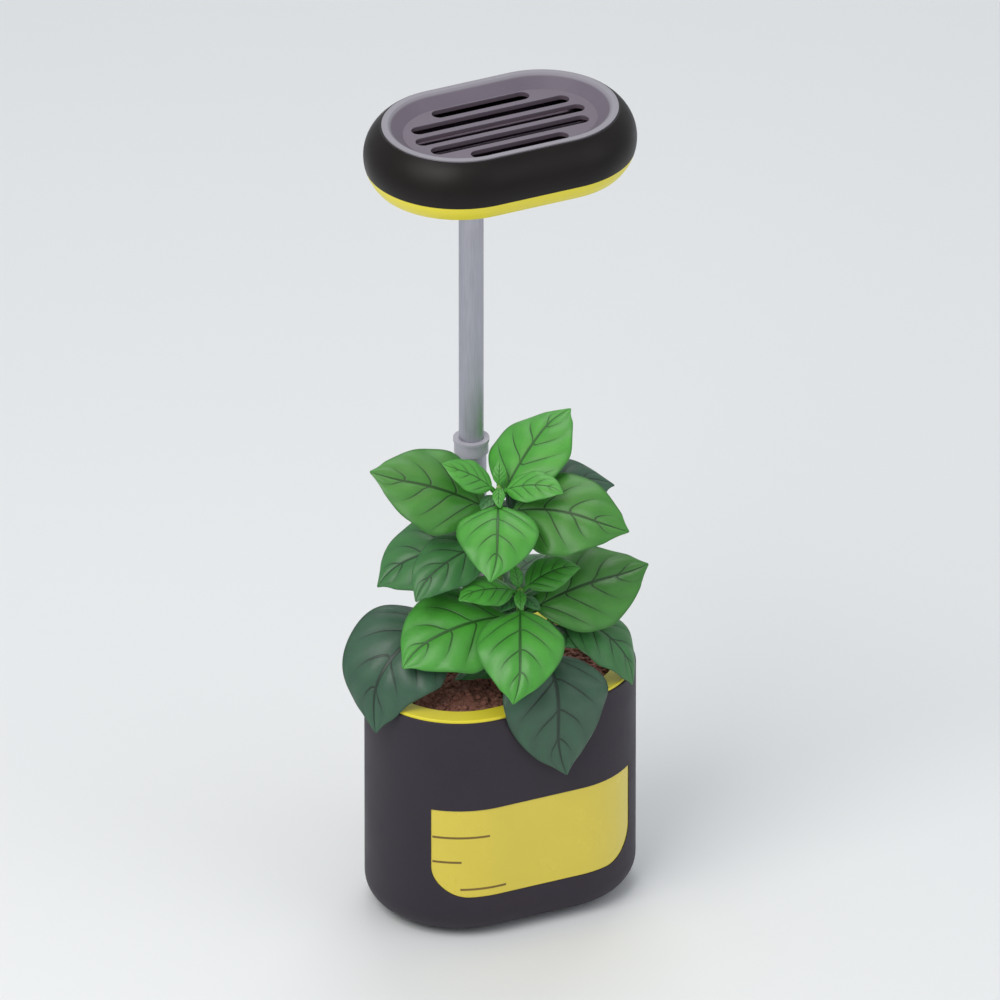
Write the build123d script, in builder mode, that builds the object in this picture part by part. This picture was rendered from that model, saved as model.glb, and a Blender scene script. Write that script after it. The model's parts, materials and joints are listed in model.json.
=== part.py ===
"""A palm-sized self-watering plant pot with a grow lamp on a telescopic arm.

Millimetres, +Z up, origin in the middle of the foot pad's underside. The water
window faces -Y, the long axis of the pot is X, and the arm stands at the back.
"""
import os
from math import cos, pi, radians, sin
from typing import NamedTuple

from build123d import *

# Footprint shared by the pot and the lamp head: a slot with round ends
end_spacing = 29.0  # between the centres of the round ends
pot_depth = 61.0  # front to back

# Clearances
drop_in_gap = 0.3  # round a piece that is dropped in or lifted out
fixed_gap = 0.1  # round a piece that is glued, clipped or screwed in place
running_gap = 0.05  # between a tube and the bush that it runs in, on the radius
stop_gap = 0.3  # between two stops at the end of a travel

# Outer shell
pad_thickness = 1.2
pad_margin = 1.0  # pad edge inside the flat of the shell's underside
shell_height = 78.8
shell_wall = 2.0
shell_floor = 2.5
foot_round = 9.0
rim_round = 0.5

# Water window
window_width = 70.0
window_height = 32.0
window_lift = 14.8  # above the shell's underside
window_corner = 11.0  # lower corners
flange_thickness = 1.0
flange_width = 2.5
window_recess = 0.2  # panel face behind the shell's face
mark_depth = 0.3
mark_height = 0.8
mark_levels = (3.0, 13.0, 22.0)  # above the window's lower edge
mark_lengths = (15.0, 8.0, 17.0)
mark_margin = 0.4  # from the window's side edge

# Water tank
bay_height = 9.5  # dry bay between the shell's floor and the tank
tank_wall = 1.4
tank_floor = 1.5
tank_headroom = 6.0  # tank mouth below the rim
tank_boss_radius = 3.5
tank_boss_height = 4.5
tank_screw_spacing = 54.0
notch_round = 2.0

# Planter basket, wick and soil
basket_gap = 0.6  # between the basket and the tank
basket_wall = 1.4
basket_floor = 1.4
basket_inside_depth = 28.6  # rim to the basket's floor
lip_height = 1.0
lip_inset = 0.5  # lip edge inside the shell's face
lip_round = 0.4
wick_radius = 5.6
wick_cup_wall = 1.2
wick_floor_gap = 2.3  # between the wick cup and the tank's floor
wick_slot_width = 3.0
wick_cup_band = 13.0  # whole ring of the cup above its slots
aeration_radius = 1.5
aeration_spacing = 11.0
soil_drop = 1.5  # soil edge below the rim
soil_mound = 3.0  # height of the mound in the middle

# Telescopic arm
lower_tube_radius = 4.9
lower_tube_wall = 0.45
upper_tube_radius = 4.0
upper_tube_wall = 0.7
collar_height = 74.0  # top of the collar above the rim
collar_band = 5.0
collar_wall = 0.6
collar_reach = 7.0  # bush part of the collar inside the lower tube
collar_bead = 1.0  # height of the wider ring at the collar's mouth
stop_length = 5.0
stop_wall = 0.4  # step of the lower tube's stop
tube_foot_thickness = 2.0
lower_travel = 40.0  # of the lower tube in its socket
upper_travel = 59.0  # of the upper tube in the lower tube

# Arm socket
socket_back_wall = 1.2
socket_wall = 1.4
socket_floor = 1.4
socket_bush_length = 8.0
socket_bush_wall = 0.8
lug_half_width = 10.5
lug_thickness = 5.0
lug_screw_offset = 8.3
lug_screw_heights = (24.0, 62.0)
lead_hole_radius = 1.5
cap_height = 1.0
cap_collar_wall = 1.3
cap_collar_height = 2.0

# Screws
screw_radius = 1.0
screw_head_radius = 1.9
screw_length = 5.0
screw_slot_width = 0.5
screw_slot_depth = 0.4

# Control board at the back of the dry bay
board_width = 24.0
board_length = 38.0
board_thickness = 1.6
board_back_gap = 2.6  # from the shell's back wall
standoff_height = 2.3
standoff_radius = 2.2
standoff_inset = 3.0
board_screw_length = 3.4
board_screw_head_height = 1.0
chip_size = (6.0, 5.0, 1.5)
connector_size = (6.0, 4.5, 3.2)
usb_width = 8.94
usb_height = 3.26
usb_length = 7.35
usb_wall = 0.3
usb_tongue_width = 6.7
usb_tongue_height = 0.7
usb_offset = -5.0
usb_recess = 0.6  # socket mouth behind the shell's face
button_offset = 6.5
button_lift = 2.2  # button centre above the board
button_radius = 2.4
button_flange_radius = 2.9
button_seat_gap = 0.5  # between the button's flange and the shell
button_flange = 1.0
button_proud = 0.6
button_travel = 0.6
switch_size = (6.0, 3.6, 4.2)
switch_plunger_radius = 1.2
switch_setback = 1.0  # switch face from the board's back edge

# Lamp head
head_lift = 181.0  # head underside above the basket's lip
head_height = 20.0
head_top_inset = 5.7
head_bottom_inset = 3.5
head_wall = 3.3  # at the widest height
bezel_height = 5.5
bezel_wall = 1.8  # at the underside
bezel_ledge = 2.2
bezel_ledge_height = 1.0
light_lens_thickness = 2.0
rim_ring_width = 2.0
rim_ring_height = 2.0
rim_ring_proud = 0.4
dish_depth = 3.5
dish_slope = 4.8
grille_thickness = 1.5
grille_slot_width = 5.1
grille_slot_pitch = 7.4
grille_slot_margin = 2.9  # floor left at each end of a slot
grille_slot_edge = 3.05  # least floor beside the middle line of an outer slot
sink_level = 7.6  # heat sink's underside above the head's underside
sink_plate = 2.0
sink_margin = 0.6
fin_height = 4.0
fin_thickness = 1.2
fin_pitch = 4.4
fin_boss_gap = 1.5  # least gap between a fin's middle line and the boss
fin_length = 56.0
head_flange = 1.5
head_flange_reach = 4.5
led_board_thickness = 1.6
led_board_inset = 4.6  # board edge inside the head's wall
led_size = (3.5, 2.8, 0.8)
led_columns = 5
led_pitch = 10.0
led_boss_gap = 2.8  # between the back row of lamps and the boss
boss_wall = 1.7
boss_roof = 1.2
neck_bush_length = 8.0
neck_bush_wall = 0.9
neck_clip_length = 1.0
neck_clip_wall = 0.8
neck_shoulder_length = 2.6
neck_shoulder_wall = 1.4
head_screw_angle = 40.0  # from the long axis, about each round end
head_screw_inset = 2.3  # from the head's wall

# Plant
leaf_thickness = 0.8
stem_foot_radius = 1.8
stem_tip_radius = 0.9
stem_bury = 4.0  # stem foot below the soil's surface
tall_stem_setback = 22.95  # tall stem in front of the arm's axis
side_stem_inset = 22.5  # side stem behind the pot's front face
fore_stem_inset = 16.5  # foremost stem behind the pot's front face
left_stem_inset = 32.0  # left stem from the pot's left end
petiole_share = 0.09  # share of a leaf that is its stalk
petiole_width = 1.6
midrib_taper = 0.6  # share of the stalk's width lost by the leaf's tip
blade_fullness = 0.8  # below 1 puts a blade's widest place nearer the stalk
leaf_cup = 0.08  # fall of the leaf's edges, as a share of its width
leaf_stations = (0.0, 0.06, 0.14, 0.24, 0.36, 0.48, 0.6, 0.72, 0.84, 0.94, 1.0)


class Stem(NamedTuple):
    x: float
    y: float
    tip: float  # height of the tip above the rim


class Leaf(NamedTuple):
    stem: str
    height: float  # of the joint with the stem above the rim
    heading: float  # degrees from +X, seen from above
    length: float
    width: float
    rise: float  # pitch at the stalk, in degrees
    fall: float  # pitch where the bend ends
    bend: float  # share of the length that is bent
    roll: float  # turn about the leaf's own length


upper = (
    Leaf("tall", 58, 158, 43, 32, 36, 2, 1.0, -32),
    Leaf("tall", 58, -42, 43, 32, 25, -31, 1.0, 30),
    Leaf("tall", 62, 30, 41, 28, 47, 7, 1.0, 0),
    Leaf("tall", 62, 244, 38, 27, 20, -52, 1.0, 0),
    Leaf("tall", 55, 8, 44, 26, 32, -26, 1.0, 25),
    Leaf("tall", 44, 162, 42, 31, 20, -45, 1.0, -25),
    Leaf("tall", 48, 190, 36, 20, 10, -45, 1.0, -30),
    Leaf("tall", 27, 36, 34, 20, 25, -30, 1.0, 0),
)
lower = (
    Leaf("front", 26, 0, 46, 33, 24, -10, 1.0, 30),
    Leaf("front", 26, 180, 44, 33, 15, -35, 1.0, -30),
    Leaf("front", 30, 245, 40, 29, 10, -68, 1.0, 0),
)
base = (
    Leaf("left", 16, 192, 56, 36, 42, -78, 0.8, -25),
    Leaf("fore", 10, -95, 54, 36, 50, -92, 0.54, 0),
    Leaf("side", 20, -38, 38, 25, 10, -85, 1.0, 10),
    Leaf("front", 8, 167, 21, 14, 20, -35, 1.0, 0),
)
young = (
    Leaf("tall", 66, 158, 20, 13, 50, 8, 1.0, -25),
    Leaf("tall", 66, -42, 22, 13, 34, -14, 1.0, 25),
    Leaf("front", 35, 180, 22, 14, 30, -16, 1.0, -20),
    Leaf("front", 35, 0, 21, 13, 38, -12, 1.0, 28),
)


# Heights and radii that follow
pot_radius = pot_depth / 2
half_spacing = end_spacing / 2
shell_bottom = pad_thickness
rim = shell_bottom + shell_height
bay_floor = shell_bottom + shell_floor
shell_inner = pot_radius - shell_wall
tank_bottom = bay_floor + bay_height
tank_radius = shell_inner - flange_thickness - drop_in_gap
tank_mouth = rim - tank_headroom
basket_radius = tank_radius - tank_wall - basket_gap
basket_bottom = rim - basket_inside_depth - basket_floor
soil_bottom = basket_bottom + basket_floor
lip_top = rim + lip_height
wick_cup_reach = basket_bottom - tank_bottom - tank_floor - wick_floor_gap
wick_slot_height = wick_cup_reach - wick_cup_band

lower_stop_radius = lower_tube_radius + stop_wall
socket_bore = lower_stop_radius + running_gap
arm_y = shell_inner - socket_back_wall - socket_bore
socket_bottom = tank_bottom
socket_top = rim
bush_bottom = socket_top - socket_bush_length
bush_bore = lower_tube_radius + running_gap
bush_outer = bush_bore + socket_bush_wall
lower_stop_bottom = bush_bottom - stop_gap - stop_length
lower_tube_bottom = socket_bottom + socket_floor + stop_gap + lower_travel
lower_tube_bore = lower_tube_radius - lower_tube_wall
upper_stop_radius = lower_tube_bore - running_gap
collar_top = rim + collar_height
collar_bottom = collar_top - collar_reach
upper_stop_bottom = collar_bottom - stop_gap - stop_length
upper_tube_bottom = lower_tube_bottom + tube_foot_thickness + stop_gap + upper_travel

tank_notch = lug_half_width + drop_in_gap
tank_notch_front = arm_y - socket_bore - socket_wall - drop_in_gap
basket_notch = tank_notch + tank_wall + basket_gap
basket_notch_front = tank_notch_front - tank_wall - basket_gap

board_back = shell_inner - board_back_gap
board_bottom = bay_floor + standoff_height
board_top = board_bottom + board_thickness
button_z = board_top + button_lift
button_back = shell_inner - button_flange - button_seat_gap

head_bottom = lip_top + head_lift
head_depth = pot_depth  # at the head's widest height
head_radius = head_depth / 2
neck_bore = upper_tube_radius + running_gap + neck_bush_wall
boss_bore = neck_bore + fixed_gap
boss_radius = boss_bore + boss_wall
neck_clip_bottom = head_bottom + fixed_gap + neck_bush_length + stop_gap
upper_tube_top = neck_clip_bottom + neck_clip_length + stop_gap
boss_top = upper_tube_top + stop_gap + boss_roof
led_row_pitch = arm_y - boss_radius - led_boss_gap - led_size[1] / 2

stems = {
    "tall": Stem(-1.0, arm_y - tall_stem_setback, 68.0),
    "front": Stem(1.0, -13.0, 36.0),
    "side": Stem(14.0, side_stem_inset - pot_radius, 22.0),
    "fore": Stem(6.0, fore_stem_inset - pot_radius, 13.0),
    "left": Stem(left_stem_inset - half_spacing - pot_radius, 0.0, 18.0),
}


# Helpers
def notched_slot(radius, notch, notch_front, corner):
    """Slot footprint with a bay at the back for the arm."""
    with BuildSketch() as plan:
        SlotCenterToCenter(end_spacing, 2 * radius)
        with Locations((0, notch_front)):
            Rectangle(2 * notch, 2 * radius, align=(Align.CENTER, Align.MIN), mode=Mode.SUBTRACT)
        fillet(plan.vertices().group_by(Axis.Y)[1], corner)
    return plan.sketch


def carry_round(section):
    """Carry a section round the slot; its x is the distance from the middle line."""
    with BuildPart() as body:
        for side in (1, -1):
            flank = Plane((-side * half_spacing, 0, 0), x_dir=(0, side, 0), z_dir=(side, 0, 0))
            with BuildSketch(flank):
                add(section)
            extrude(amount=end_spacing)
            end = Plane((side * half_spacing, 0, 0), x_dir=(0, -side, 0), z_dir=(-side, 0, 0))
            with BuildSketch(end):
                add(section)
            revolve(axis=Axis((side * half_spacing, 0, 0), (0, 0, 1)), revolution_arc=180)
    return body.part


def polygon(points):
    """Closed section through a list of corners."""
    with BuildSketch() as section:
        with BuildLine():
            Polyline(*points, close=True)
        make_face()
    return section.sketch


def arm_plane(height):
    """Level plane with its origin on the arm's axis."""
    return Plane((0, arm_y, height))


def flat_screw(length):
    """Countersunk screw with its head's face at z = 0, and its shank down -Z."""
    head_height = screw_head_radius - screw_radius
    with BuildPart() as screw:
        with BuildSketch(Plane.XZ):
            with BuildLine():
                Polyline(
                    (0, 0),
                    (screw_head_radius, 0),
                    (screw_radius, -head_height),
                    (screw_radius, -length),
                    (0, -length),
                    close=True,
                )
            make_face()
        revolve(axis=Axis.Z)
        with BuildSketch():
            Rectangle(2 * screw_head_radius, screw_slot_width)
        extrude(amount=-screw_slot_depth, mode=Mode.SUBTRACT)
    return screw.part


def window_prism(grow, bottom_corner):
    """Front prism with the window's outline, grown or shrunk all round."""
    width = window_width + 2 * grow
    height = window_height + 2 * grow
    with BuildPart() as prism:
        with BuildSketch(Plane.XZ) as outline:
            with Locations((0, shell_bottom + window_lift - grow)):
                Rectangle(width, height, align=(Align.CENTER, Align.MIN))
            fillet(outline.vertices().group_by(Axis.Y)[0], bottom_corner)
        extrude(amount=pot_radius + shell_wall)
    return prism.part


def wall_band(outer, inner, bottom, height):
    """Upright band that follows the slot footprint."""
    with BuildPart() as band:
        with BuildSketch(Plane.XY.offset(bottom)):
            SlotCenterToCenter(end_spacing, 2 * outer)
            SlotCenterToCenter(end_spacing, 2 * inner, mode=Mode.SUBTRACT)
        extrude(amount=height)
    return band.part


# Pot: outer shell
lug_screw_planes = [
    Plane((side * lug_screw_offset, pot_radius, level), x_dir=(1, 0, 0), z_dir=(0, 1, 0))
    for side in (-1, 1)
    for level in lug_screw_heights
]
tank_screw_planes = [
    Plane((side * tank_screw_spacing / 2, 0, shell_bottom), x_dir=(1, 0, 0), z_dir=(0, 0, -1))
    for side in (-1, 1)
]
standoff_x = board_width / 2 - standoff_inset
standoff_back = board_back - usb_length - standoff_inset
standoff_front = board_back - board_length + standoff_inset
standoff_spots = [
    (side * standoff_x, spot_y)
    for side in (-1, 1)
    for spot_y in (standoff_front, standoff_back)
]
window_cut = window_prism(0, window_corner)

with BuildPart() as shell_cavity:
    with BuildSketch(Plane.XY.offset(bay_floor)):
        SlotCenterToCenter(end_spacing, 2 * shell_inner)
    extrude(amount=shell_height)
    fillet(shell_cavity.faces().sort_by(Axis.Z)[0].edges(), foot_round - 2 * shell_wall)

with BuildPart() as outer_shell:
    with BuildSketch(Plane.XY.offset(shell_bottom)):
        SlotCenterToCenter(end_spacing, pot_depth)
    extrude(amount=shell_height)
    fillet(outer_shell.faces().sort_by(Axis.Z)[0].edges(), foot_round)
    fillet(outer_shell.faces().sort_by(Axis.Z)[-1].edges(), rim_round)
    add(shell_cavity.part, mode=Mode.SUBTRACT)
    add(window_cut, mode=Mode.SUBTRACT)
    with BuildSketch(Plane.XY.offset(bay_floor)):
        with Locations(*[(plane.origin.X, plane.origin.Y) for plane in tank_screw_planes]):
            Circle(tank_boss_radius)
    extrude(amount=bay_height)
    with BuildSketch(Plane.XY.offset(bay_floor)):
        with Locations(*standoff_spots):
            Circle(standoff_radius)
    extrude(amount=standoff_height)
    with Locations(*[plane.location for plane in tank_screw_planes]):
        CounterSinkHole(
            screw_radius + fixed_gap,
            screw_head_radius + fixed_gap,
            shell_floor + bay_height,
        )
    with Locations(*[plane.location for plane in lug_screw_planes]):
        CounterSinkHole(screw_radius + fixed_gap, screw_head_radius + fixed_gap, 2 * shell_wall)
    with Locations(*[(*spot, board_bottom) for spot in standoff_spots]):
        Hole(screw_radius, depth=standoff_height)
    with BuildSketch(Plane.XZ.offset(-pot_radius)):
        with Locations((usb_offset, board_top + usb_height / 2)):
            RectangleRounded(
                usb_width + 2 * drop_in_gap,
                usb_height + 2 * drop_in_gap,
                usb_height / 2,
            )
        with Locations((button_offset, button_z)):
            Circle(button_radius + drop_in_gap)
    extrude(amount=2 * shell_wall, mode=Mode.SUBTRACT)

# Pot: window with its glued flange, and the level marks let into its face
panel_face = pot_radius - window_recess
panel_bottom = shell_bottom + window_lift
flange_band = wall_band(
    shell_inner - fixed_gap,
    shell_inner - flange_thickness,
    panel_bottom - flange_width,
    window_height + 2 * flange_width,
)
panel_band = wall_band(panel_face, shell_inner - flange_thickness, panel_bottom, window_height)
flange_prism = window_prism(flange_width, window_corner + flange_width)
panel_prism = window_prism(-fixed_gap, window_corner)

mark_band = wall_band(panel_face, panel_face - mark_depth, panel_bottom, window_height)
with BuildPart() as level_marks:
    add(mark_band)
    with BuildSketch(Plane.XZ):
        for level, length in zip(mark_levels, mark_lengths):
            inset = max(mark_margin, window_corner - level)
            with Locations((-window_width / 2 + inset, panel_bottom + level)):
                Rectangle(length, mark_height, align=(Align.MIN, Align.CENTER))
    extrude(amount=pot_radius, mode=Mode.INTERSECT)

with BuildPart() as window_flange:
    add(flange_band)
    add(flange_prism, mode=Mode.INTERSECT)

with BuildPart() as window_lens:
    add(panel_band)
    add(panel_prism, mode=Mode.INTERSECT)
    add(window_flange.part)
    add(level_marks.part, mode=Mode.SUBTRACT)

# Pot: water tank
tank_height = tank_mouth - tank_bottom
tank_plan = notched_slot(tank_radius, tank_notch, tank_notch_front, notch_round)
tank_inside = notched_slot(
    tank_radius - tank_wall,
    tank_notch + tank_wall,
    tank_notch_front - tank_wall,
    notch_round + tank_wall,
)
with BuildPart() as water_tank:
    with BuildSketch(Plane.XY.offset(tank_bottom)):
        add(tank_plan)
    extrude(amount=tank_height)
    with BuildSketch(Plane.XY.offset(tank_bottom + tank_floor)):
        add(tank_inside)
    extrude(amount=tank_height, mode=Mode.SUBTRACT)
    with BuildSketch(Plane.XY.offset(tank_bottom + tank_floor)):
        with Locations(*[(plane.origin.X, plane.origin.Y) for plane in tank_screw_planes]):
            Circle(tank_boss_radius)
    extrude(amount=tank_boss_height)
    with Locations(*[(plane.origin.X, plane.origin.Y, tank_bottom) for plane in tank_screw_planes]):
        Cylinder(
            screw_radius,
            tank_boss_height,
            align=(Align.CENTER, Align.CENTER, Align.MIN),
            mode=Mode.SUBTRACT,
        )

tank_screw = flat_screw(shell_floor + bay_height + tank_boss_height - stop_gap)
with BuildPart() as tank_screws:
    with Locations(*[plane.location for plane in tank_screw_planes]):
        add(tank_screw)

# Pot: foot pad over the screw heads
with BuildPart() as foot_pad:
    with BuildSketch():
        SlotCenterToCenter(end_spacing, 2 * (pot_radius - foot_round - pad_margin))
    extrude(amount=pad_thickness)

# Pot: arm socket, its bush, cap and screws
with BuildPart() as arm_socket:
    with BuildSketch(Plane.XY.offset(socket_bottom)):
        with Locations((0, arm_y)):
            Circle(socket_bore + socket_wall)
        with Locations((0, shell_inner)):
            Rectangle(2 * lug_half_width, lug_thickness, align=(Align.CENTER, Align.MAX))
            Rectangle(
                2 * lug_half_width,
                lug_thickness,
                align=(Align.CENTER, Align.MIN),
                mode=Mode.SUBTRACT,
            )
    extrude(amount=socket_top - socket_bottom)
    with Locations((0, arm_y, socket_bottom)):
        Cylinder(lead_hole_radius, 2 * socket_floor, mode=Mode.SUBTRACT)
    with Locations((0, arm_y, socket_bottom + socket_floor)):
        Cylinder(
            socket_bore,
            socket_top,
            align=(Align.CENTER, Align.CENTER, Align.MIN),
            mode=Mode.SUBTRACT,
        )
    with Locations((0, arm_y, bush_bottom)):
        Cylinder(
            bush_outer + fixed_gap,
            socket_top,
            align=(Align.CENTER, Align.CENTER, Align.MIN),
            mode=Mode.SUBTRACT,
        )
    with Locations(*[plane.location for plane in lug_screw_planes]):
        Hole(screw_radius, depth=shell_wall + lug_thickness)

with BuildPart() as socket_bush:
    with BuildSketch(arm_plane(bush_bottom)):
        Circle(bush_outer)
        Circle(bush_bore, mode=Mode.SUBTRACT)
    extrude(amount=socket_bush_length)

lug_screw = flat_screw(screw_length)
with BuildPart() as socket_screws:
    with Locations(*[plane.location for plane in lug_screw_planes]):
        add(lug_screw)

cap_half_width = basket_notch - drop_in_gap
cap_front = basket_notch_front + drop_in_gap
cap_back = pot_radius - lip_inset
with BuildPart() as socket_cap:
    with BuildSketch(Plane.XY.offset(rim)) as cap_plan:
        with Locations((0, cap_front)):
            Rectangle(2 * cap_half_width, cap_back - cap_front, align=(Align.CENTER, Align.MIN))
        fillet(cap_plan.vertices().group_by(Axis.Y)[0], notch_round)
    extrude(amount=cap_height)
    with BuildSketch(Plane.XY.offset(rim + cap_height)):
        with Locations((0, arm_y)):
            Circle(socket_bore + cap_collar_wall)
    extrude(amount=cap_collar_height)
    fillet(socket_cap.faces().sort_by(Axis.Z)[-1].edges(), rim_round)
    with Locations((0, arm_y, rim)):
        Cylinder(
            lower_tube_radius + drop_in_gap,
            2 * (cap_height + cap_collar_height),
            mode=Mode.SUBTRACT,
        )

# Pot: control board in the dry bay, with its inlet and switch
with BuildPart() as control_board:
    with BuildSketch(Plane.XY.offset(board_bottom)):
        with Locations((0, board_back)):
            Rectangle(board_width, board_length, align=(Align.CENTER, Align.MAX))
        with Locations(*standoff_spots):
            Circle(screw_radius + fixed_gap, mode=Mode.SUBTRACT)
    extrude(amount=board_thickness)

with BuildPart() as board_screws:
    with BuildSketch(Plane.XY.offset(board_top)):
        with Locations(*standoff_spots):
            Circle(screw_head_radius)
    extrude(amount=board_screw_head_height)
    with BuildSketch(Plane.XY.offset(board_top)):
        with Locations(*standoff_spots):
            Circle(screw_radius)
    extrude(amount=-board_screw_length)

board_middle = board_back - board_length / 2
with BuildPart() as control_chip:
    with Locations((0, board_middle, board_top)):
        Box(*chip_size, align=(Align.CENTER, Align.CENTER, Align.MIN))

with BuildPart() as lead_connector:
    with Locations((0, board_back - board_length + connector_size[1], board_top)):
        Box(*connector_size, align=(Align.CENTER, Align.CENTER, Align.MIN))

usb_front = pot_radius - usb_recess
usb_z = board_top + usb_height / 2
with BuildPart() as usb_socket:
    with BuildSketch(Plane.XZ.offset(-usb_front)):
        with Locations((usb_offset, usb_z)):
            RectangleRounded(usb_width, usb_height, usb_height / 2 - fixed_gap)
    extrude(amount=usb_length)
    with BuildSketch(Plane.XZ.offset(-usb_front)):
        with Locations((usb_offset, usb_z)):
            RectangleRounded(
                usb_width - 2 * usb_wall,
                usb_height - 2 * usb_wall,
                usb_height / 2 - usb_wall - fixed_gap,
            )
    extrude(amount=usb_length - 2 * usb_wall, mode=Mode.SUBTRACT)

with BuildPart() as usb_tongue:
    with BuildSketch(Plane.XZ.offset(-usb_front + 2 * usb_wall)):
        with Locations((usb_offset, usb_z)):
            Rectangle(usb_tongue_width, usb_tongue_height)
    extrude(amount=usb_length - 4 * usb_wall)

switch_face = board_back - switch_setback
plunger_end = button_back - button_travel - fixed_gap
with BuildPart() as power_switch:
    with Locations((button_offset, switch_face, board_top)):
        Box(*switch_size, align=(Align.CENTER, Align.MAX, Align.MIN))
    with BuildSketch(Plane.XZ.offset(-switch_face)):
        with Locations((button_offset, button_z)):
            Circle(switch_plunger_radius)
    extrude(amount=-(plunger_end - switch_face))

with BuildPart() as power_button:
    with BuildSketch(Plane.XZ.offset(-button_back)):
        with Locations((button_offset, button_z)):
            Circle(button_flange_radius)
    extrude(amount=-button_flange)
    with BuildSketch(Plane.XZ.offset(-button_back)):
        with Locations((button_offset, button_z)):
            Circle(button_radius)
    extrude(amount=-(pot_radius + button_proud - button_back))
    fillet(power_button.faces().sort_by(Axis.Y)[-1].edges(), button_proud / 2)

# Planter: basket with its lip and wick cup
basket_plan = notched_slot(basket_radius, basket_notch, basket_notch_front, notch_round)
basket_inside = notched_slot(
    basket_radius - basket_wall,
    basket_notch + basket_wall,
    basket_notch_front - basket_wall,
    notch_round + basket_wall,
)
lip_plan = notched_slot(pot_radius - lip_inset, basket_notch, basket_notch_front, notch_round)
with BuildPart() as planter_basket:
    with BuildSketch(Plane.XY.offset(rim)):
        add(lip_plan)
    extrude(amount=lip_height)
    fillet(planter_basket.faces().sort_by(Axis.Z)[-1].edges(), lip_round)
    with BuildSketch(Plane.XY.offset(basket_bottom)):
        add(basket_plan)
    extrude(amount=rim - basket_bottom)
    with BuildSketch(Plane.XY.offset(basket_bottom)):
        Circle(wick_radius + fixed_gap + wick_cup_wall)
    extrude(amount=-wick_cup_reach)
    with BuildSketch(Plane.XY.offset(soil_bottom)):
        add(basket_inside)
    extrude(amount=lip_top, mode=Mode.SUBTRACT)
    with BuildSketch(Plane.XY.offset(soil_bottom)):
        Circle(wick_radius + fixed_gap)
        with GridLocations(2 * aeration_spacing, aeration_spacing, 2, 2):
            Circle(aeration_radius)
    extrude(amount=-(basket_floor + wick_cup_reach), mode=Mode.SUBTRACT)
    with Locations((0, 0, basket_bottom - wick_cup_reach)):
        Box(
            4 * wick_radius,
            wick_slot_width,
            wick_slot_height,
            align=(Align.CENTER, Align.CENTER, Align.MIN),
            mode=Mode.SUBTRACT,
        )
        Box(
            wick_slot_width,
            4 * wick_radius,
            wick_slot_height,
            align=(Align.CENTER, Align.CENTER, Align.MIN),
            mode=Mode.SUBTRACT,
        )

with BuildPart() as wick:
    with BuildSketch(Plane.XY.offset(soil_bottom)):
        Circle(wick_radius)
    extrude(amount=-(basket_floor + wick_cup_reach))

# Planter: soil with a low mound
soil_edge = rim - soil_drop
soil_inside = notched_slot(
    basket_radius - basket_wall - drop_in_gap,
    basket_notch + basket_wall + drop_in_gap,
    basket_notch_front - basket_wall - drop_in_gap,
    notch_round + basket_wall,
)
mound_reach = basket_radius - basket_wall - 3 * drop_in_gap
mound_back = basket_notch_front - basket_wall - 3 * drop_in_gap
soil_top = soil_edge + soil_mound
mound = carry_round(
    polygon([(0, soil_edge), (mound_reach, soil_edge), (mound_reach / 2, soil_top), (0, soil_top)])
)
with BuildPart() as soil_plug:
    with BuildSketch(Plane.XY.offset(soil_bottom)):
        add(soil_inside)
    extrude(amount=soil_edge - soil_bottom)
    add(mound)
    with Locations((0, mound_back, soil_edge)):
        Box(
            2 * pot_depth,
            pot_depth,
            2 * soil_mound,
            align=(Align.CENTER, Align.MIN, Align.MIN),
            mode=Mode.SUBTRACT,
        )
    with Locations(*[(stem.x, stem.y, soil_top) for stem in stems.values()]):
        Hole(stem_foot_radius + drop_in_gap, depth=stem_bury)

# Lower arm
lower_tube_top = collar_top - collar_wall
with BuildPart() as lower_tube:
    with BuildSketch(arm_plane(lower_tube_bottom)):
        Circle(lower_tube_radius)
        Circle(lower_tube_bore, mode=Mode.SUBTRACT)
    extrude(amount=lower_tube_top - lower_tube_bottom)

with BuildPart() as lower_stop:
    with BuildSketch(arm_plane(lower_stop_bottom)):
        Circle(lower_stop_radius)
        Circle(lower_tube_radius, mode=Mode.SUBTRACT)
    extrude(amount=stop_length)

with BuildPart() as tube_foot:
    with BuildSketch(arm_plane(lower_tube_bottom)):
        Circle(lower_tube_bore - fixed_gap / 2)
        Circle(lead_hole_radius, mode=Mode.SUBTRACT)
    extrude(amount=tube_foot_thickness)

collar_bore = upper_tube_radius + running_gap
collar_inner = lower_tube_radius + fixed_gap / 2
collar_outer = collar_inner + collar_wall
with BuildPart() as tube_collar:
    with BuildSketch(arm_plane(collar_bottom)):
        Circle(lower_tube_bore - fixed_gap / 2)
    extrude(amount=collar_reach)
    with BuildSketch(arm_plane(collar_top - collar_band)):
        Circle(collar_outer)
        Circle(collar_inner, mode=Mode.SUBTRACT)
    extrude(amount=collar_band)
    with BuildSketch(arm_plane(collar_top - collar_bead)):
        Circle(collar_outer + collar_wall / 2)
        Circle(collar_inner, mode=Mode.SUBTRACT)
    extrude(amount=collar_bead)
    with BuildSketch(arm_plane(lower_tube_top)):
        Circle(collar_outer)
    extrude(amount=collar_wall)
    with BuildSketch(arm_plane(collar_bottom)):
        Circle(collar_bore)
    extrude(amount=collar_reach, mode=Mode.SUBTRACT)

# Upper arm
with BuildPart() as upper_tube:
    with BuildSketch(arm_plane(upper_tube_bottom)):
        Circle(upper_tube_radius)
        Circle(upper_tube_radius - upper_tube_wall, mode=Mode.SUBTRACT)
    extrude(amount=upper_tube_top - upper_tube_bottom)

with BuildPart() as upper_stop:
    with BuildSketch(arm_plane(upper_stop_bottom)):
        Circle(upper_stop_radius)
        Circle(upper_tube_radius, mode=Mode.SUBTRACT)
    extrude(amount=stop_length)

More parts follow.
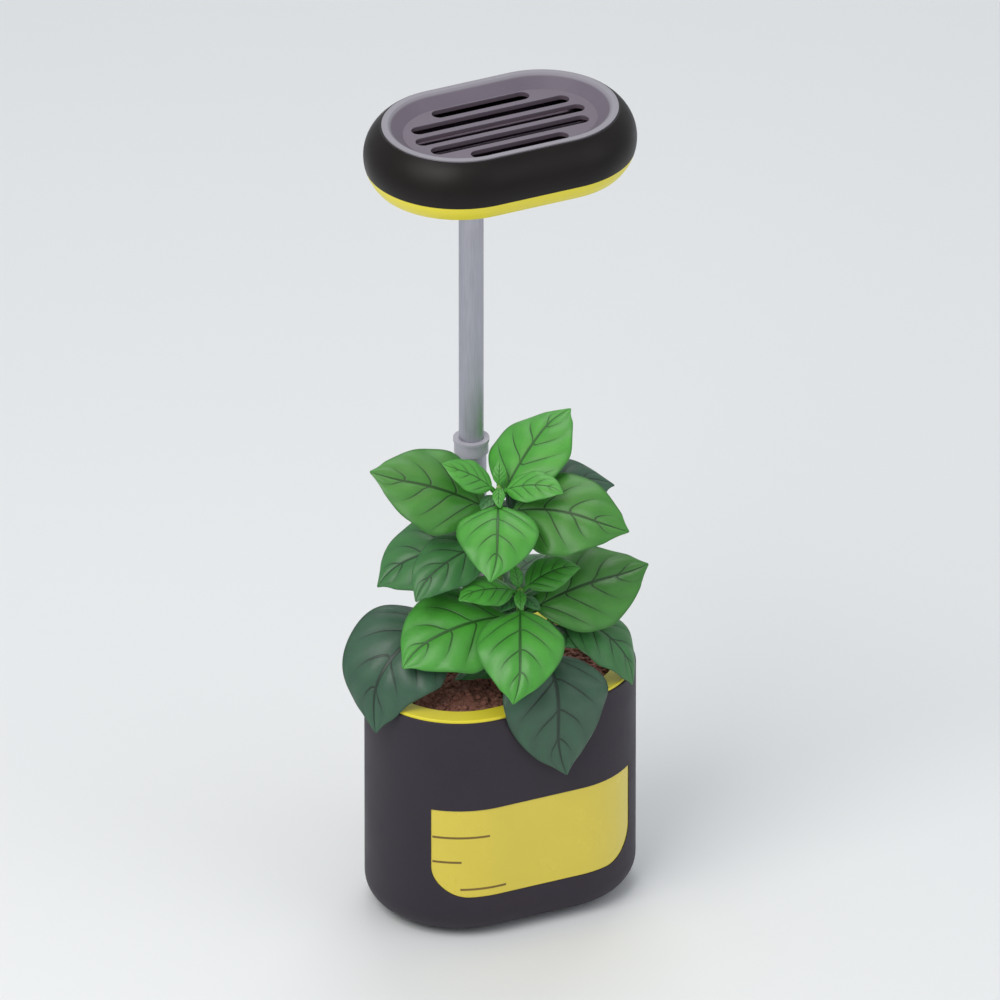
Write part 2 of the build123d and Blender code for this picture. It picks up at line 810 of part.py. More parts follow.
with BuildPart() as neck_shoulder:
    with BuildSketch(arm_plane(head_bottom - stop_gap - neck_shoulder_length)):
        Circle(upper_tube_radius + neck_shoulder_wall)
        Circle(upper_tube_radius, mode=Mode.SUBTRACT)
    extrude(amount=neck_shoulder_length)

with BuildPart() as neck_clip:
    with BuildSketch(arm_plane(neck_clip_bottom)):
        Circle(upper_tube_radius + neck_clip_wall)
        Circle(upper_tube_radius, mode=Mode.SUBTRACT)
    extrude(amount=neck_clip_length)

# Lamp head: outline of the bulging side, from the middle line outwards
head_inner = head_radius - head_wall
head_top_radius = head_radius - head_top_inset
head_bottom_radius = head_radius - head_bottom_inset
head_mid = head_bottom + head_height / 2
head_top = head_bottom + head_height
with BuildSketch() as head_outline:
    with BuildLine():
        Polyline(
            (head_top_radius, head_top),
            (0, head_top),
            (0, head_bottom),
            (head_bottom_radius, head_bottom),
        )
        ThreePointArc(
            (head_bottom_radius, head_bottom),
            (head_radius, head_mid),
            (head_top_radius, head_top),
        )
    make_face()


def outline_between(bottom, top):
    """Part of the head's outline between two heights."""
    with BuildSketch() as band:
        add(head_outline.sketch)
        with Locations((0, bottom)):
            Rectangle(
                2 * head_depth,
                top - bottom,
                align=(Align.CENTER, Align.MIN),
                mode=Mode.INTERSECT,
            )
    return band.sketch


def room(radius, bottom, top):
    """Rectangle from the middle line out to a radius, between two heights."""
    return polygon([(0, bottom), (radius, bottom), (radius, top), (0, top)])


# Lamp head: shell with a ledge for the heat sink and a seat for the grille
bezel_top = head_bottom + bezel_height
sink_top = head_bottom + sink_level + sink_plate
seat = head_top - rim_ring_height
flange_bore = head_inner - head_flange_reach
boss_spot = (0, arm_y, head_bottom)
head_band = outline_between(bezel_top, head_top - rim_ring_proud)
head_rooms = (
    room(head_inner, bezel_top, sink_top + fixed_gap),
    room(flange_bore, bezel_top, head_top),
    room(head_inner, sink_top + fixed_gap + head_flange, seat - head_flange),
    room(head_top_radius, seat, head_top),
)
with BuildSketch() as shell_section:
    add(head_band)
    add(head_rooms, mode=Mode.SUBTRACT)
shell_ring = carry_round(shell_section.sketch)

head_screw_radius = head_inner - head_screw_inset
head_screw_spots = [
    (
        along * (half_spacing + head_screw_radius * cos(radians(head_screw_angle))),
        across * head_screw_radius * sin(radians(head_screw_angle)),
    )
    for along in (-1, 1)
    for across in (-1, 1)
]
head_screw_planes = [
    Plane((*spot, head_bottom + sink_level), x_dir=(1, 0, 0), z_dir=(0, 0, -1))
    for spot in head_screw_spots
]
with BuildPart() as head_shell:
    add(shell_ring)
    with Locations(boss_spot):
        Cylinder(boss_radius, boss_top - head_bottom, align=(Align.CENTER, Align.CENTER, Align.MIN))
        Cylinder(
            boss_bore,
            boss_top - boss_roof - head_bottom,
            align=(Align.CENTER, Align.CENTER, Align.MIN),
            mode=Mode.SUBTRACT,
        )
        Cylinder(lead_hole_radius, 2 * head_height, mode=Mode.SUBTRACT)
    with Locations(*[plane.location for plane in head_screw_planes]):
        Hole(screw_radius, depth=screw_length)

# Lamp head: dished grille with its slots
ring_outer = head_top_radius - fixed_gap
ring_inner = ring_outer - rim_ring_width
floor_radius = ring_inner - dish_slope
floor_top = head_top - dish_depth
floor_under = floor_top - grille_thickness
slope_foot = floor_radius + (seat - floor_under) * dish_slope / dish_depth
slot_rows = int((floor_radius - grille_slot_edge) / grille_slot_pitch)  # on each side of the middle
grille_body = carry_round(
    polygon(
        [
            (0, floor_under),
            (floor_radius, floor_under),
            (slope_foot, seat),
            (ring_outer, seat),
            (ring_outer, head_top),
            (ring_inner, head_top),
            (floor_radius, floor_top),
            (0, floor_top),
        ]
    )
)
with BuildPart() as vent_grille:
    add(grille_body)
    with BuildSketch(Plane.XY.offset(floor_under)):
        for row in range(-slot_rows, slot_rows + 1):
            offset_y = row * grille_slot_pitch
            reach = ((floor_radius - grille_slot_margin) ** 2 - offset_y**2) ** 0.5
            with Locations((0, offset_y)):
                SlotOverall(2 * (half_spacing + reach), grille_slot_width)
    extrude(amount=grille_thickness, mode=Mode.SUBTRACT)

# Lamp head: heat sink, light board and lamps
boss_notch = boss_radius + fixed_gap
boss_notch_front = arm_y - boss_notch
fin_rows = int((boss_notch_front - fin_boss_gap) / fin_pitch)  # on each side of the middle
sink_plan = notched_slot(head_inner - sink_margin, boss_notch, boss_notch_front, notch_round)
with BuildPart() as heat_sink:
    with BuildSketch(Plane.XY.offset(head_bottom + sink_level)):
        add(sink_plan)
    extrude(amount=sink_plate)
    with BuildSketch(Plane.XY.offset(sink_top)):
        with GridLocations(0, fin_pitch, 1, 2 * fin_rows + 1):
            Rectangle(fin_length, fin_thickness)
    extrude(amount=fin_height)
    with Locations(*[plane.location for plane in head_screw_planes]):
        CounterSinkHole(screw_radius + fixed_gap, screw_head_radius + fixed_gap, 2 * sink_plate)

head_screw = flat_screw(screw_length)
with BuildPart() as head_screws:
    with Locations(*[plane.location for plane in head_screw_planes]):
        add(head_screw)

led_board_bottom = head_bottom + sink_level - led_board_thickness
led_board_plan = notched_slot(head_inner - led_board_inset, boss_notch, boss_notch_front, notch_round)
with BuildPart() as led_board:
    with BuildSketch(Plane.XY.offset(led_board_bottom)):
        add(led_board_plan)
    extrude(amount=led_board_thickness)

led_spots = [
    (
        (column - (led_columns - 1) / 2) * led_pitch,
        row * led_row_pitch,
        (column + row) % 2,
    )
    for column in range(led_columns)
    for row in (-1, 0, 1)
]
with BuildPart() as white_leds:
    with Locations(*[(x, y, led_board_bottom) for x, y, kind in led_spots if kind == 0]):
        Box(*led_size, align=(Align.CENTER, Align.CENTER, Align.MAX))

with BuildPart() as red_leds:
    with Locations(*[(x, y, led_board_bottom) for x, y, kind in led_spots if kind == 1]):
        Box(*led_size, align=(Align.CENTER, Align.CENTER, Align.MAX))

# Lamp head: ring and light lens
bezel_inner = head_bottom_radius - bezel_wall
ledge_top = head_bottom + bezel_ledge_height
bezel_band = outline_between(head_bottom, bezel_top)
bezel_rooms = (
    room(bezel_inner, ledge_top, bezel_top),
    room(bezel_inner - bezel_ledge, head_bottom, bezel_top),
)
with BuildSketch() as bezel_section:
    add(bezel_band)
    add(bezel_rooms, mode=Mode.SUBTRACT)
bezel_ring = carry_round(bezel_section.sketch)
with BuildPart() as lens_bezel:
    add(bezel_ring)
    with Locations(boss_spot):
        Cylinder(boss_notch, 2 * head_height, mode=Mode.SUBTRACT)

with BuildPart() as light_lens:
    with BuildSketch(Plane.XY.offset(ledge_top)):
        SlotCenterToCenter(end_spacing, 2 * (bezel_inner - fixed_gap))
    extrude(amount=light_lens_thickness)
    with Locations(boss_spot):
        Cylinder(boss_notch, 2 * head_height, mode=Mode.SUBTRACT)

with BuildPart() as neck_bush:
    with BuildSketch(arm_plane(head_bottom + fixed_gap)):
        Circle(neck_bore)
        Circle(upper_tube_radius + running_gap, mode=Mode.SUBTRACT)
    extrude(amount=neck_bush_length)


# Plant: leaves and stems
stem_foot = soil_top - stem_bury


def leaf_station(leaf, share):
    """Plane across a leaf at a share of its length."""
    rise = radians(leaf.rise)
    fall = radians(leaf.fall)
    bent = min(share, leaf.bend)
    pitch = rise + (fall - rise) * bent / leaf.bend
    arc = leaf.length * leaf.bend / (fall - rise)
    straight = leaf.length * (share - bent)
    out = arc * (sin(pitch) - sin(rise)) + straight * cos(pitch)
    up = arc * (cos(rise) - cos(pitch)) + straight * sin(pitch)
    stem = stems[leaf.stem]
    climb = (rim + leaf.height - stem_foot) / (rim + stem.tip - stem_foot)
    out += stem_foot_radius + (stem_tip_radius - stem_foot_radius) * climb + fixed_gap
    heading = Vector(cos(radians(leaf.heading)), sin(radians(leaf.heading)), 0)
    across = Vector(-heading.Y, heading.X, 0)
    along = heading * cos(pitch) + Vector(0, 0, sin(pitch))
    normal = along.cross(across)
    rolled = across * cos(radians(leaf.roll)) + normal * sin(radians(leaf.roll))
    spot = Vector(stem.x, stem.y, rim + leaf.height) + heading * out + Vector(0, 0, up)
    return Plane(spot, x_dir=rolled, z_dir=along)


def leaf_half_width(leaf, share):
    """Half width of a leaf: a thin stalk, then a pointed oval blade."""
    blade = max(0.0, (share - petiole_share) / (1 - petiole_share))
    taper = petiole_width * (1 - midrib_taper * share)
    return (taper + (leaf.width - petiole_width) * sin(pi * blade**blade_fullness)) / 2


def leaf_solid(leaf):
    """Thin curved leaf, lofted through crescent sections along its midrib."""
    with BuildPart() as blade:
        for share in leaf_stations:
            half = leaf_half_width(leaf, share)
            drop = leaf_cup * half * 2
            with BuildSketch(leaf_station(leaf, share)):
                with BuildLine():
                    ThreePointArc((-half, -drop), (0, 0), (half, -drop))
                    Line((half, -drop), (half, -drop - leaf_thickness))
                    ThreePointArc(
                        (half, -drop - leaf_thickness),
                        (0, -leaf_thickness),
                        (-half, -drop - leaf_thickness),
                    )
                    Line((-half, -drop - leaf_thickness), (-half, -drop))
                make_face()
        loft()
    return blade.part


with BuildPart() as plant_stems:
    for stem in stems.values():
        for height, radius in ((stem_foot, stem_foot_radius), (rim + stem.tip, stem_tip_radius)):
            with BuildSketch(Plane.XY.offset(height)):
                with Locations((stem.x, stem.y)):
                    Circle(radius)
        loft()

upper_solids = [leaf_solid(leaf) for leaf in upper]
with BuildPart() as upper_leaves:
    add(upper_solids)

lower_solids = [leaf_solid(leaf) for leaf in lower]
with BuildPart() as lower_leaves:
    add(lower_solids)

base_solids = [leaf_solid(leaf) for leaf in base]
with BuildPart() as base_leaves:
    add(base_solids)

young_solids = [leaf_solid(leaf) for leaf in young]
with BuildPart() as young_leaves:
    add(young_solids)

pieces = {
    "outer_shell": outer_shell,
    "window_lens": window_lens,
    "level_marks": level_marks,
    "water_tank": water_tank,
    "tank_screws": tank_screws,
    "foot_pad": foot_pad,
    "arm_socket": arm_socket,
    "socket_bush": socket_bush,
    "socket_screws": socket_screws,
    "socket_cap": socket_cap,
    "control_board": control_board,
    "board_screws": board_screws,
    "control_chip": control_chip,
    "lead_connector": lead_connector,
    "usb_socket": usb_socket,
    "usb_tongue": usb_tongue,
    "power_switch": power_switch,
    "power_button": power_button,
    "planter_basket": planter_basket,
    "wick": wick,
    "soil_plug": soil_plug,
    "plant_stems": plant_stems,
    "upper_leaves": upper_leaves,
    "lower_leaves": lower_leaves,
    "base_leaves": base_leaves,
    "young_leaves": young_leaves,
    "lower_tube": lower_tube,
    "lower_stop": lower_stop,
    "tube_foot": tube_foot,
    "tube_collar": tube_collar,
    "upper_tube": upper_tube,
    "upper_stop": upper_stop,
    "neck_shoulder": neck_shoulder,
    "neck_clip": neck_clip,
    "head_shell": head_shell,
    "vent_grille": vent_grille,
    "heat_sink": heat_sink,
    "head_screws": head_screws,
    "led_board": led_board,
    "white_leds": white_leds,
    "red_leds": red_leds,
    "lens_bezel": lens_bezel,
    "light_lens": light_lens,
    "neck_bush": neck_bush,
}
os.makedirs("parts", exist_ok=True)
for label, piece in pieces.items():
    piece.part.label = label
    export_step(piece.part, f"parts/{label}.step")
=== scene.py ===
"""Looks of the self-watering plant pot: finishes, loose soil and a leafy plant."""
import json
from math import cos, pi, radians, sin
from random import Random
from typing import NamedTuple

import bmesh
import bpy
import numpy as np
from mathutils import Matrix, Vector, noise
from mathutils.bvhtree import BVHTree


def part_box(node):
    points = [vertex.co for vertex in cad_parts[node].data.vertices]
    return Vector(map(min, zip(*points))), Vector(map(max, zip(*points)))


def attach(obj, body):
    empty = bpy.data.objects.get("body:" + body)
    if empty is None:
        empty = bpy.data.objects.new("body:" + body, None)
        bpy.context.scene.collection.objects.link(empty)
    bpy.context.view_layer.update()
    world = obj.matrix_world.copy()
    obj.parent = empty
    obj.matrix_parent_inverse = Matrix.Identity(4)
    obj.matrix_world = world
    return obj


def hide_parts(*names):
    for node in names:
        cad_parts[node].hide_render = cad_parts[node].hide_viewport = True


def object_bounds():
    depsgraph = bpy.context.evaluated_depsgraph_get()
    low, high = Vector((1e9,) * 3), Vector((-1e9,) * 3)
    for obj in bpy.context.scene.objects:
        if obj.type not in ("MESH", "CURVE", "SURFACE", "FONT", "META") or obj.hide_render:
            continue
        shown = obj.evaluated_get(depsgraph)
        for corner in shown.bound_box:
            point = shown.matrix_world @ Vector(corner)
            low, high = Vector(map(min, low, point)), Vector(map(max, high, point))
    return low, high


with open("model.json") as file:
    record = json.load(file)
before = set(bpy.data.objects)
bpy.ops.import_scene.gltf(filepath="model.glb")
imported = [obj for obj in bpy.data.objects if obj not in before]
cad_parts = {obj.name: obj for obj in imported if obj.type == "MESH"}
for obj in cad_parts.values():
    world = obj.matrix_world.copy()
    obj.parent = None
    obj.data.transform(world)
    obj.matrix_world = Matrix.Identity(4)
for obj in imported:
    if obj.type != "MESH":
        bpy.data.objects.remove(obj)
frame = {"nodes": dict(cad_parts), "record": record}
cad_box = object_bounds()
nodes = frame["nodes"]
scene = bpy.context.scene
mm = 0.001

# Camera
view_azimuth = -25.0  # degrees, from the front towards the right
view_elevation = 29.0
view_distance = 12.0
view_lens = 1350.0  # millimetres, on a 36 mm sensor
view_lift = 0.0047  # aim above the middle of the object's box

# Light
key_power, fill_power, back_power = 7.0, 2.2, 3.0  # watts
key_warm = (1.0, 0.98, 0.95)
fill_cool = (0.95, 0.97, 1.0)
sky_pale = (0.93, 0.96, 1.0)
world_strength = 0.55
floor_reach = 12.0

# Colours, linear
pot_black = (0.030, 0.023, 0.034)
head_black = (0.0085, 0.0058, 0.0056)
inner_black = (0.02, 0.02, 0.022)
yellow = (0.80, 0.69, 0.032)
window_yellow = (0.72, 0.58, 0.055)
mark_brown = (0.19, 0.12, 0.018)
tank_milky = (0.66, 0.68, 0.64)
rubber_black = (0.024, 0.024, 0.025)
button_grey = (0.22, 0.2, 0.24)
bush_white = (0.72, 0.7, 0.64)
led_amber = (0.85, 0.75, 0.3)
led_red = (0.62, 0.04, 0.03)
screw_steel = (0.56, 0.56, 0.58)
board_green, board_track = (0.012, 0.11, 0.035), (0.03, 0.19, 0.07)
light_board, light_track = (0.8, 0.8, 0.77), (0.66, 0.66, 0.62)
tube_grey = (0.46, 0.46, 0.52)
collar_grey = (0.36, 0.36, 0.41)
grille_grey = (0.138, 0.114, 0.148)
grille_rim = (0.26, 0.245, 0.28)
# Painted shade for the inside of the grille's slots
slot_painted_shade = (0.105, 0.078, 0.102)
sink_dark = (0.12, 0.092, 0.12)
soil_brown = (0.32, 0.135, 0.100)
soil_dark = (0.110, 0.048, 0.036)
soil_fleck = (0.36, 0.19, 0.11)
leaf_bright = (0.070, 0.36, 0.035)
leaf_deep = (0.038, 0.215, 0.024)
leaf_fresh = (0.056, 0.25, 0.028)
leaf_fresh_deep = (0.030, 0.150, 0.019)
# The mid leaf greens are a darker copy of the leaf green, painted shade for the leaves that wear
# them
leaf_mid = (0.048, 0.205, 0.050)
leaf_shaded_deep = (0.026, 0.120, 0.034)
leaf_dark = (0.040, 0.115, 0.064)
leaf_dark_deep = (0.022, 0.066, 0.038)
stem_green = (0.16, 0.34, 0.06)
stem_brown = (0.13, 0.13, 0.04)
cotton = (0.74, 0.71, 0.62)
cotton_deep = (0.42, 0.39, 0.32)
cotton_pale = (0.80, 0.77, 0.68)
lens_milk = (0.80, 0.74, 0.70)
glow_pink = (1.0, 0.62, 0.52)
glow_warm = (1.0, 0.86, 0.78)
floor_pale = (0.80, 0.815, 0.82)

# Surfaces
noise_low, noise_high = 0.3, 0.7  # most values of a noise lie between these
flow_size = 14 * mm  # marks of the plastic's flow
flow_share = 0.6  # of the colour's change, and the rest is the grain's
shine_patch = 0.06  # change of roughness with the flow
dent_size = 5 * mm
dent_depth = 0.02 * mm
streak_size = 0.25 * mm  # of drawn metal
streak_depth = 0.008 * mm
cloud_size = 9 * mm
track_pitch = 2.2 * mm  # on circuit boards
braid_strands = 10.0  # round the wick
braid_rise = 3.2 * mm
grille_dish = 3.5 * mm  # from the grille's rim down to its slotted floor

# Lamp
lamp_pitch_x, lamp_pitch_y = 5 * mm, 5.5 * mm
spot_core, spot_edge = 0.8 * mm, 6.0 * mm  # radii of the bright spot under a lamp
glow_strength = 1.6
glow_skin = 0.3 * mm  # depth of the lens that glows in full, and the same again to fade

# Soil
soil_voxel = 0.9 * mm
soil_lump = 0.7 * mm  # height of the lumps
crumb_count = 2600
crumb_size = 1.25 * mm  # radius of the largest crumbs
crumb_least = 0.28  # smallest crumbs, as a share of the largest
crumb_fine = 0.6  # crumbs above this share get a finer shape
crumb_clear = 1.6  # radii of soil that a crumb needs on each side
crumb_lift = 0.25  # radii that a crumb's middle stands above the soil
crumb_corner, crumb_corner_range = 0.75, 0.5  # radii of a crumb's corners
crumb_wide, crumb_wide_range = 0.8, 0.5  # squash of a crumb, across and along
crumb_tall, crumb_tall_range = 0.55, 0.35  # and upright
four_ways = ((1, 0), (-1, 0), (0, 1), (0, -1))
lump_size = 4 * mm
lump_octaves = (0.8, 2.0, 4)  # how fast they fade, the step between them and their count
lump_facing = 0.4  # least upward slope of soil that gets lumps
ray_start = 10 * mm  # above the soil

# Plant, as in the fixed model, in millimetres and degrees
petiole_share = 0.09
petiole_width = 1.6
midrib_taper = 0.6
blade_fullness = 0.8
leaf_cup = 0.08
stem_foot_radius = 1.8
stem_tip_radius = 0.9
stem_gap = 0.1
stem_sides, stem_rings = 16, 48
stem_rib = 0.07  # depth of the ribs, as a share of the radius
stem_close = 0.4  # the tip's last ring, as a share of the radius
knot_swell = 0.14  # where a leaf leaves the stem, as a share of the radius
knot_most = 1.5  # most that leaves close together add up to
knot_reach = 1.6
ripe_height = 25  # above the rim, where the stems are fully green
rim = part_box("outer_shell")[1].z / mm
stem_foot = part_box("plant_stems")[0].z / mm

# Leaf surface
rows_along = 60
rows_across = 18  # on each side of the midrib
root_share = -0.03  # the stalk starts this far inside the stem
vein_spacings = 5.0  # along the whole leaf
vein_first = 0.7  # spacings before the first pair
vein_last = 3.5  # no veins after this many spacings
vein_lean = 0.22  # climb of a side vein from the midrib to the edge
vein_curl = 0.12
vein_stray = 0.16  # most that one side's veins shift, in spacings, while the other's shift back
vein_meet = 0.1  # share of the half width over which the shift starts
vein_core, vein_edge = 0.015, 0.06  # half widths of a side vein, in spacings
vein_reach = 0.95  # of the first pair, as a share of the half width
vein_reach_last = 0.4
vein_fade = 0.3
midrib_core, midrib_edge = 0.018, 0.05  # half widths, as shares of the leaf's
quilt = 0.018  # swelling between the side veins, as a share of the width
quilt_start = 0.25  # share of the half width over which the swelling starts
ripple = 0.018  # wave of the edge, as a share of the width
ripple_count = 3.2  # waves along the edge
groove = 0.014  # depth of the midrib, as a share of the width
groove_width = 0.10  # as a share of the half width
blade_round = 0.82  # below 1 for rounder sides than the fixed model's
tip_share = 0.12  # share of the blade that is drawn out into a point
tip_pinch = 0.5  # how much narrower the point is
hook_share = 0.3  # share of the leaf whose midrib turns aside
hook = 0.055  # turn of the tip, as a share of the length
blade_thickness = 0.55
stalk_thickness = 1.5
stalk_end = 1.6  # where the stalk's thickness ends, in stalk lengths
edge_thinning = 0.75  # loss of thickness at the edge


class Stem(NamedTuple):
    x: float
    y: float
    tip: float  # height of the tip above the pot's rim


class Leaf(NamedTuple):
    stem: str
    height: float  # of the joint with the stem above the pot's rim
    heading: float  # degrees from +X, seen from above
    length: float
    width: float
    rise: float  # pitch at the stalk, in degrees
    fall: float  # pitch where the bend ends
    bend: float  # share of the length that is bent
    roll: float  # turn about the leaf's own length
    tone: str = "leaf_bright"
    turn: int = 1  # side that the tip turns to: 1 is left, seen along the leaf from above


stems = {
    "tall": Stem(-1, -1, 68),
    "front": Stem(1, -13, 36),
    "side": Stem(14, -8, 22),
    "fore": Stem(6, -14, 13),
    "left": Stem(-13, 0, 18),
}
# Leaves of the mid tone wear painted shade: a darker copy of the leaf green.
foliage = {
    "upper_leaves": (
        Leaf("tall", 58, 158, 43, 32, 36, 2, 1.0, -32, "leaf_fresh", -1),
        Leaf("tall", 58, -42, 43, 32, 25, -31, 1.0, 30, "leaf_fresh"),
        Leaf("tall", 62, 30, 41, 28, 47, 7, 1.0, 0, "leaf_bright", -1),
        Leaf("tall", 62, 244, 38, 27, 20, -52, 1.0, 0, "leaf_bright", -1),
        Leaf("tall", 55, 8, 44, 26, 32, -26, 1.0, 25, "leaf_dark", -1),
        Leaf("tall", 44, 162, 42, 31, 20, -45, 1.0, -25, "leaf_mid"),
        Leaf("tall", 48, 190, 36, 20, 10, -45, 1.0, -30, "leaf_mid"),
        Leaf("tall", 27, 36, 34, 20, 25, -30, 1.0, 0, "leaf_mid"),
    ),
    "lower_leaves": (
        Leaf("front", 26, 0, 46, 33, 24, -10, 1.0, 30, "leaf_fresh"),
        Leaf("front", 26, 180, 44, 33, 15, -35, 1.0, -30),
        Leaf("front", 30, 245, 40, 29, 10, -68, 1.0, 0, "leaf_bright", -1),
    ),
    "base_leaves": (
        Leaf("left", 16, 192, 56, 36, 42, -78, 0.8, -25, "leaf_dark"),
        Leaf("fore", 10, -95, 54, 36, 50, -92, 0.54, 0, "leaf_dark"),
        Leaf("side", 20, -38, 38, 25, 10, -85, 1.0, 10, "leaf_mid", -1),
        Leaf("front", 8, 167, 21, 14, 20, -35, 1.0, 0, "leaf_mid"),
    ),
    "young_leaves": (
        Leaf("tall", 66, 158, 20, 13, 50, 8, 1.0, -25, "leaf_bright", -1),
        Leaf("tall", 66, -42, 22, 13, 34, -14, 1.0, 25, "leaf_bright", -1),
        Leaf("front", 35, 180, 22, 14, 30, -16, 1.0, -20),
        Leaf("front", 35, 0, 21, 13, 38, -12, 1.0, 28, "leaf_bright", -1),
        Leaf("tall", 67.5, 60, 8, 5, 75, 40, 1.0, 0),
        Leaf("tall", 67.5, 245, 8, 4.5, 5, -60, 1.0, 0),
        Leaf("front", 35.6, 90, 8, 5, 75, 40, 1.0, 0),
        Leaf("front", 35.6, 245, 8, 4.5, 5, -60, 1.0, 0),
        Leaf("tall", 57.5, 80, 15, 12, 8, -25, 1.0, 0, "leaf_mid"),
        Leaf("front", 25.5, 52, 15, 11, 8, -25, 1.0, 0, "leaf_mid"),
        Leaf("front", 25.5, 118, 12, 10, 8, -20, 1.0, 0, "leaf_mid"),
        Leaf("front", 30, 62, 20, 13, 20, -15, 1.0, 0, "leaf_mid"),
        Leaf("side", 17.5, -72, 15, 15, 8, -30, 1.0, 0, "leaf_mid"),
        Leaf("tall", 65, 200, 8, 6, 5, -40, 1.0, 0, "leaf_mid"),
        Leaf("front", 33.5, 200, 9, 7, 5, -35, 1.0, 0, "leaf_mid"),
        Leaf("front", 33.5, -70, 8, 6, 5, -40, 1.0, 0, "leaf_mid"),
    ),
}
leaf_tones = ["leaf_bright", "leaf_fresh", "leaf_mid", "leaf_dark"]


# Materials
class Finish:
    """A Principled material, with short calls that add nodes in front of its shader."""

    def __init__(self, name, colour, roughness, **sockets):
        self.material = bpy.data.materials.new(name)
        self.material.use_nodes = True
        self.tree = self.material.node_tree
        self.shader = self.tree.nodes["Principled BSDF"]
        self.set("Base Color", (*colour, 1.0))
        self.set("Roughness", roughness)
        for socket, value in sockets.items():
            self.set(socket.replace("_", " "), value)
        self.place = self.node("TexCoord").outputs["Object"]

    def set(self, socket, value):
        """Gives a shader socket a value, or links it to an output."""
        self.feed(self.shader.inputs[socket], value)

    def feed(self, socket, value):
        """Gives any socket a value, or links it to an output."""
        if isinstance(value, bpy.types.NodeSocket):
            self.tree.links.new(value, socket)
        else:
            socket.default_value = value

    def node(self, kind, inputs=(), **settings):
        """New node of a kind, with its settings and a list of (input, value) pairs."""
        made = self.tree.nodes.new("ShaderNode" + kind)
        for setting, value in settings.items():
            setattr(made, setting, value)
        for socket, value in inputs:
            self.feed(made.inputs[socket], value)
        return made

    def math(self, operation, *values):
        """Result of one arithmetic step."""
        return self.node("Math", tuple(enumerate(values)), operation=operation).outputs[0]

    def spots(self, size, detail=3.0, stretch=(1, 1, 1), place=None):
        """Noise whose blotches have about this size in metres, stretched along the axes."""
        inputs = [("Vector", place or self.place), ("Scale", [1 / s for s in stretch])]
        mapped = self.node("Mapping", inputs).outputs[0]
        inputs = [("Vector", mapped), ("Scale", 1 / size), ("Detail", detail)]
        return self.node("TexNoise", inputs).outputs["Fac"]

    def between(self, value, low, high, start=0.0, end=1.0, smooth=False):
        """A value's stretch from low to high, spread from start to end."""
        kind = "SMOOTHSTEP" if smooth else "LINEAR"
        inputs = [("Value", value), (1, low), (2, high), (3, start), (4, end)]
        return self.node("MapRange", inputs, interpolation_type=kind).outputs[0]

    def spread(self, texture, start=0.0, end=1.0):
        """A noise's usual stretch, spread from start to end."""
        return self.between(texture, noise_low, noise_high, start, end)

    def blend(self, share, first, second):
        """Mix of two colours."""
        colours = [(0, share), (6, self.colour(first)), (7, self.colour(second))]
        return self.node("Mix", colours, data_type="RGBA").outputs[2]

    def colour(self, value):
        """A colour with its alpha, or an output as it is."""
        return value if isinstance(value, bpy.types.NodeSocket) else (*value, 1.0)

    def bump(self, *layers):
        """Stacks (height output, depth in metres) layers of relief on the shader."""
        normal = None
        for height, depth in layers:
            inputs = [("Height", height), ("Distance", depth), ("Strength", 1.0)]
            if normal:
                inputs.append(("Normal", normal))
            normal = self.node("Bump", inputs).outputs[0]
        self.set("Normal", normal)


def lighter(colour, factor):
    """A colour made lighter or darker."""
    return tuple(min(1.0, channel * factor) for channel in colour)


def moulded(name, colour, roughness, grain=0.35 * mm, relief=0.02 * mm, variation=0.18, **sockets):
    """Moulded plastic: a fine eroded grain, faint flow marks and patches of handling shine."""
    f = Finish(name, colour, roughness, **sockets)
    flow = f.spots(flow_size, 4.0)
    fine = f.spots(grain, 2.0)
    grain_part = f.math("MULTIPLY", fine, 1 - flow_share)
    share = f.spread(f.math("ADD", f.math("MULTIPLY", flow, flow_share), grain_part))
    deep, pale = lighter(colour, 1 - variation), lighter(colour, 1 + variation)
    f.set("Base Color", f.blend(share, deep, pale))
    f.set("Roughness", f.spread(flow, roughness - shine_patch, roughness + shine_patch))
    f.bump((fine, relief), (f.spots(dent_size, 2.0), dent_depth))
    return f


def brushed(name, colour, roughness, streak, **sockets):
    """Metal with fine drawn streaks."""
    f = Finish(name, colour, roughness, Metallic=1.0, **sockets)
    streaks = f.spots(streak_size, 3.0, streak)
    cloud = f.spots(cloud_size, 3.0)
    deep, pale = lighter(colour, 0.88), lighter(colour, 1.06)
    f.set("Base Color", f.blend(f.spread(streaks), deep, pale))
    f.set("Roughness", f.spread(cloud, roughness - 0.05, roughness + 0.07))
    f.bump((streaks, streak_depth))
    return f


def board_finish(name, colour, line):
    """Lacquered circuit board with faint tracks under the lacquer."""
    f = Finish(name, colour, 0.35, Coat_Weight=0.4, Coat_Roughness=0.2)
    inputs = [("Vector", f.place), ("Scale", 1 / track_pitch), ("Randomness", 0.0)]
    cells = f.node("TexVoronoi", inputs, distance="MANHATTAN", feature="F1").outputs["Distance"]
    tracks = f.between(cells, 0.42, 0.5, smooth=True)
    f.set("Base Color", f.blend(tracks, colour, line))
    f.bump((tracks, 0.03 * mm))
    return f


def cotton_finish():
    """Braided cotton: crossing strands."""
    f = Finish("cotton", cotton, 0.9, Sheen_Weight=0.3)
    parts = f.node("SeparateXYZ", [("Vector", f.place)])
    turn = f.math("ARCTAN2", parts.outputs["Y"], parts.outputs["X"])
    climb = f.math("MULTIPLY", parts.outputs["Z"], 2 * pi / braid_rise)
    strands = f.math("MULTIPLY", turn, braid_strands)
    one = f.math("SINE", f.math("ADD", strands, climb))
    other = f.math("SINE", f.math("SUBTRACT", strands, climb))
    weave = f.between(f.math("MAXIMUM", one, other), -1.0, 1.0)
    f.set("Base Color", f.blend(weave, cotton_deep, cotton_pale))
    f.bump((weave, 0.3 * mm), (f.spots(0.2 * mm), 0.05 * mm))
    return f


